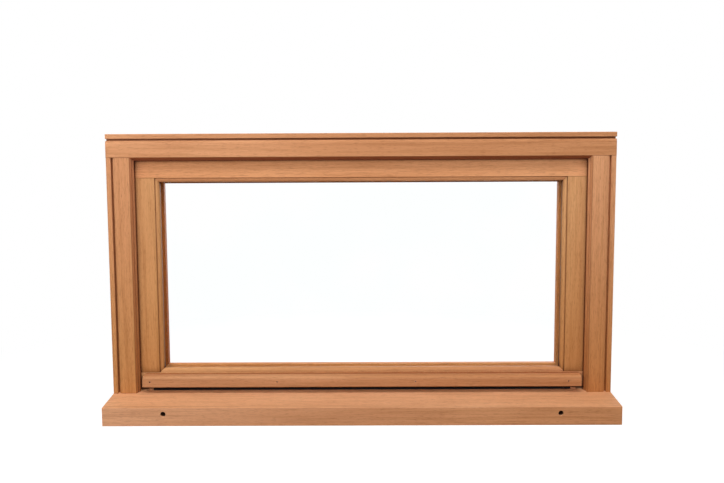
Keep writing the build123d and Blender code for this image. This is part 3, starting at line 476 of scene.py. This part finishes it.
def matt(name, colour, seed, count, depth):
    """Rubber, sealant or moulded plastic: a fine pitted skin with paler dust."""
    material, graph = material_graph(name)
    place = graph.add("TexCoord").outputs["Object"]
    skin = graph.noise(place, [count] * 3, SKIN_DETAIL, seed)
    dust = graph.noise(place, [DUST_COUNT] * 3, DUST_DETAIL, seed)
    dusty = linear(shaded(colour, DUST_GAIN))
    inputs = {
        "Base Color": graph.blend(graph.spread(dust, *DUST_LIMITS), linear(colour), dusty),
        "Roughness": graph.spread(skin, *MIDDLE, *SKIN_ROUGHNESS),
        "Specular IOR Level": SKIN_GLOSS,
    }
    finish_solid(graph, inputs, skin, SKIN_BUMP, depth)
    return material


def glass(name, seed):
    """Clear coated glass with a faint bloom, which lets light through to what is behind it."""
    material, graph = material_graph(name)
    place = graph.add("TexCoord").outputs["Object"]
    bloom = graph.noise(place, [BLOOM_COUNT] * 3, BLOOM_DETAIL, seed)
    inputs = {
        "Base Color": graph.blend(graph.spread(bloom, *BLOOM_LIMITS), linear(BLOOM_TINT), linear(WHITE)),
        "Roughness": graph.spread(bloom, *BLOOM_ROUGH_LIMITS, *BLOOM_ROUGHNESS),
        "IOR": GLASS_IOR,
        "Specular Tint": linear(GLASS_MIRROR),
        "Transmission Weight": 1.0,
    }
    pane = graph.add("BsdfPrincipled", inputs).outputs["BSDF"]
    clear = graph.add("BsdfTransparent").outputs["BSDF"]
    path = graph.add("LightPath").outputs
    passing = graph.math("MAXIMUM", path["Is Shadow Ray"], path["Is Diffuse Ray"])
    finish_material(graph, graph.add("MixShader", {0: passing, 1: pane, 2: clear}).outputs["Shader"])
    return material


def seen_directly(graph):
    """1 for rays that show a surface to the eye, straight, mirrored or through glass."""
    path = graph.add("LightPath").outputs
    mirrored = graph.math("MAXIMUM", path["Is Glossy Ray"], path["Is Transmission Ray"])
    return graph.math("MAXIMUM", path["Is Camera Ray"], mirrored)


def floor_material():
    """Pale paper that takes the shadow, lifted for the eye, and white from some way off."""
    material, graph = material_graph("floor_paper")
    place = graph.add("TexCoord").outputs["Object"]
    mottle = graph.noise(place, [FLOOR_MOTTLE_COUNT] * 3, FLOOR_MOTTLE_DETAIL)
    tone = graph.blend(mottle, linear(FLOOR_TONE), linear(FLOOR_MOTTLE))
    paper = graph.add("BsdfDiffuse", {"Color": tone}).outputs["BSDF"]
    seen = seen_directly(graph)
    lift_strength = graph.math("MULTIPLY", seen, FLOOR_LIFT)
    lift = graph.add("Emission", {"Strength": lift_strength}).outputs["Emission"]
    near = graph.add("AddShader", {0: paper, 1: lift}).outputs["Shader"]
    distance = graph.add("VectorMath", {0: place}, operation="LENGTH").outputs["Value"]
    away = graph.math("MULTIPLY", graph.spread(distance, *FLOOR_FADE), seen)
    white = graph.add("Emission", {"Strength": WHITE_STRENGTH}).outputs["Emission"]
    finish_material(graph, graph.add("MixShader", {0: away, 1: near, 2: white}).outputs["Shader"])
    return material


def dress(names, material):
    for name in names:
        for slot in frame["nodes"][name].material_slots:
            slot.material = material


# A dark line: painted shade at a moulding's quirk, or a dark joint where a shoulder closes
def hairline(axis, level):
    return Line(axis, level, DARK_LINE, LINE_SHARE)


def lip_shade_band(axis, edge, inward, share):
    """A band of painted shade on the moulded lip behind an edge; inward is the sign of the way from the
    board to the opening.
    """
    return Line(axis, edge - inward * LIP_MOULDING / 2, (LIP_MOULDING + DARK_LINE) / 2, share)


def board_settings():
    """What sets single boards apart: dark lines at quirks and joints, bands of painted shade, painted
    shade in gaps, worn edges with a painted highlight, and pale faces with painted light on the sill's
    top.
    """
    head_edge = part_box("head")[0].z
    head_line = hairline(Z_AXIS, head_edge + LIP_MOULDING)
    top_line = hairline(Z_AXIS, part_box("sash_top_rail")[0].z + SASH_MOULDING)
    bottom_line = hairline(Z_AXIS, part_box("sash_bottom_rail")[1].z - SASH_MOULDING)
    # Painted shade on the sash: soft in the lee of the frame's lip and black in the gaps beside it
    lip_shaded = {"bore_limits": SASH_BORE_LIMITS, "lee_shade_share": LEE_SHADE_SHARE}
    settings = {
        "head": {
            "lines": [head_line],
            "shade_bands": [lip_shade_band(Z_AXIS, head_edge, -1, HEAD_LIP_SHADE_SHARE)],
            "recess_shade_share": GROOVE_SHARES["head"],
        },
        "sill": {"pale_tone": SILL_TOP_LIGHT, "own_only": True, "bore_limits": SILL_BORE_LIMITS},
        "closing_packers": {"recess_shade_share": 0.0},
        "sash_top_rail": {"lines": [top_line], **lip_shaded},
        "sash_bottom_rail": {"bore_limits": FOOT_BORE_LIMITS},
        "weather_bar": {"own_only": True, "edge_radius": BAR_EDGE_RADIUS, "edge_share": BAR_EDGE_SHARE},
    }
    for side in ("top", "bottom", "left", "right"):
        settings["glazing_bead_" + side] = {"pale_face": Y_AXIS, "pale_tone": HONEY, "own_only": True}
    for side, inner, inward in (("left", 1, 1), ("right", 0, -1)):
        jamb_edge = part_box("jamb_" + side)[inner].x
        jamb_line = hairline(X_AXIS, jamb_edge - inward * LIP_MOULDING)
        stile_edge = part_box("sash_stile_" + side)[inner].x
        stile_line = hairline(X_AXIS, stile_edge - inward * SASH_MOULDING)
        settings["jamb_" + side] = {
            "lines": [head_line, jamb_line],
            "shade_bands": [lip_shade_band(X_AXIS, jamb_edge, inward, JAMB_LIP_SHADE_SHARES[side])],
            "recess_shade_share": GROOVE_SHARES[side],
        }
        settings["sash_stile_" + side] = {"lines": [top_line, bottom_line, stile_line], **lip_shaded}
    return settings


def dress_wood():
    settings = board_settings()
    for count, (name, (start, end, axis)) in enumerate(BOARDS.items()):
        ends = [corner[axis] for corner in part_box(name)]
        seed = count * SEED_STEP
        dress([name], wood("wood_" + name, (start, end), axis, ends, seed, **settings.get(name, {})))


def dress_fittings():
    slots = {}
    for piece in frame["record"]["subparts"]:
        slots.setdefault(piece["material_slot"], []).append(piece["node"])
    finishes = {
        "brass": metal("satin_brass", BRASS, seed=1.0, roughness=(0.30, 0.48)),
        "pin_steel": metal("pin_steel", PIN_STEEL, seed=2.0, roughness=(0.35, 0.55)),
        "seal_rubber": matt("seal_rubber", SEAL_BLACK_AND_GAP_SHADE, seed=3.0, count=1800.0, depth=0.0002),
        "sealant": matt("edge_sealant", SEALANT_GREY, seed=4.0, count=900.0, depth=0.0002),
        "spacer_plastic": matt("spacer_plastic", SPACER_GREY, seed=5.0, count=2400.0, depth=0.0001),
        "block_plastic": matt("block_plastic", BLOCK_GREY, seed=6.0, count=2000.0, depth=0.0001),
        "clear_glass": glass("clear_glass", seed=7.0),
    }
    for slot, material in finishes.items():
        dress(slots[slot], material)


def build_floor():
    bpy.ops.mesh.primitive_plane_add(size=2 * FLOOR_HALF, location=(0, 0, cad_box[0].z - FLOOR_DROP))
    floor = bpy.context.object
    floor.name = "floor"
    floor.data.materials.append(floor_material())


def build_world():
    world = bpy.data.worlds.new("studio")
    bpy.context.scene.world = world
    world.use_nodes = True
    graph = Graph(world.node_tree)
    fill, white = [
        graph.add("Background", {"Color": linear(WHITE), "Strength": strength}).outputs["Background"]
        for strength in (FILL_STRENGTH, WHITE_STRENGTH)
    ]
    shown = graph.add("MixShader", {0: seen_directly(graph), 1: fill, 2: white}).outputs["Shader"]
    graph.add("OutputWorld", {"Surface": shown})


def area_light(name, panel):
    lamp = bpy.data.lights.new(name, "AREA")
    lamp.shape = "RECTANGLE"
    lamp.size, lamp.size_y = panel.size
    lamp.energy = panel.watts
    light = bpy.data.objects.new(name, lamp)
    light.location = panel.place
    way = Vector(panel.aim) - Vector(panel.place)
    light.rotation_euler = way.to_track_quat("-Z", "Y").to_euler()
    light.visible_camera = light.visible_transmission = False
    bpy.context.scene.collection.objects.link(light)


def build_camera():
    level = cos(CAMERA_PITCH)
    forward = Vector((sin(CAMERA_YAW) * level, cos(CAMERA_YAW) * level, sin(CAMERA_PITCH)))
    side = Vector((cos(CAMERA_YAW), -sin(CAMERA_YAW), 0))
    up = side.cross(forward)
    right = cos(CAMERA_ROLL) * side + sin(CAMERA_ROLL) * up
    top = cos(CAMERA_ROLL) * up - sin(CAMERA_ROLL) * side
    lens = bpy.data.cameras.new("camera")
    lens.sensor_fit = "HORIZONTAL"
    lens.sensor_width = SENSOR_WIDTH
    lens.lens = FOCAL_PIXELS / IMAGE_WIDTH * SENSOR_WIDTH
    camera = bpy.data.objects.new("camera", lens)
    turn = Matrix((right, top, -forward)).transposed()
    camera.matrix_world = Matrix.Translation(CAMERA_PLACE) @ turn.to_4x4()
    bpy.context.scene.collection.objects.link(camera)
    bpy.context.scene.camera = camera


dress_wood()
dress_fittings()
build_floor()
build_world()
for name, panel in PANELS.items():
    area_light(name, panel)
build_camera()
bpy.context.scene.view_settings.view_transform = "Standard"
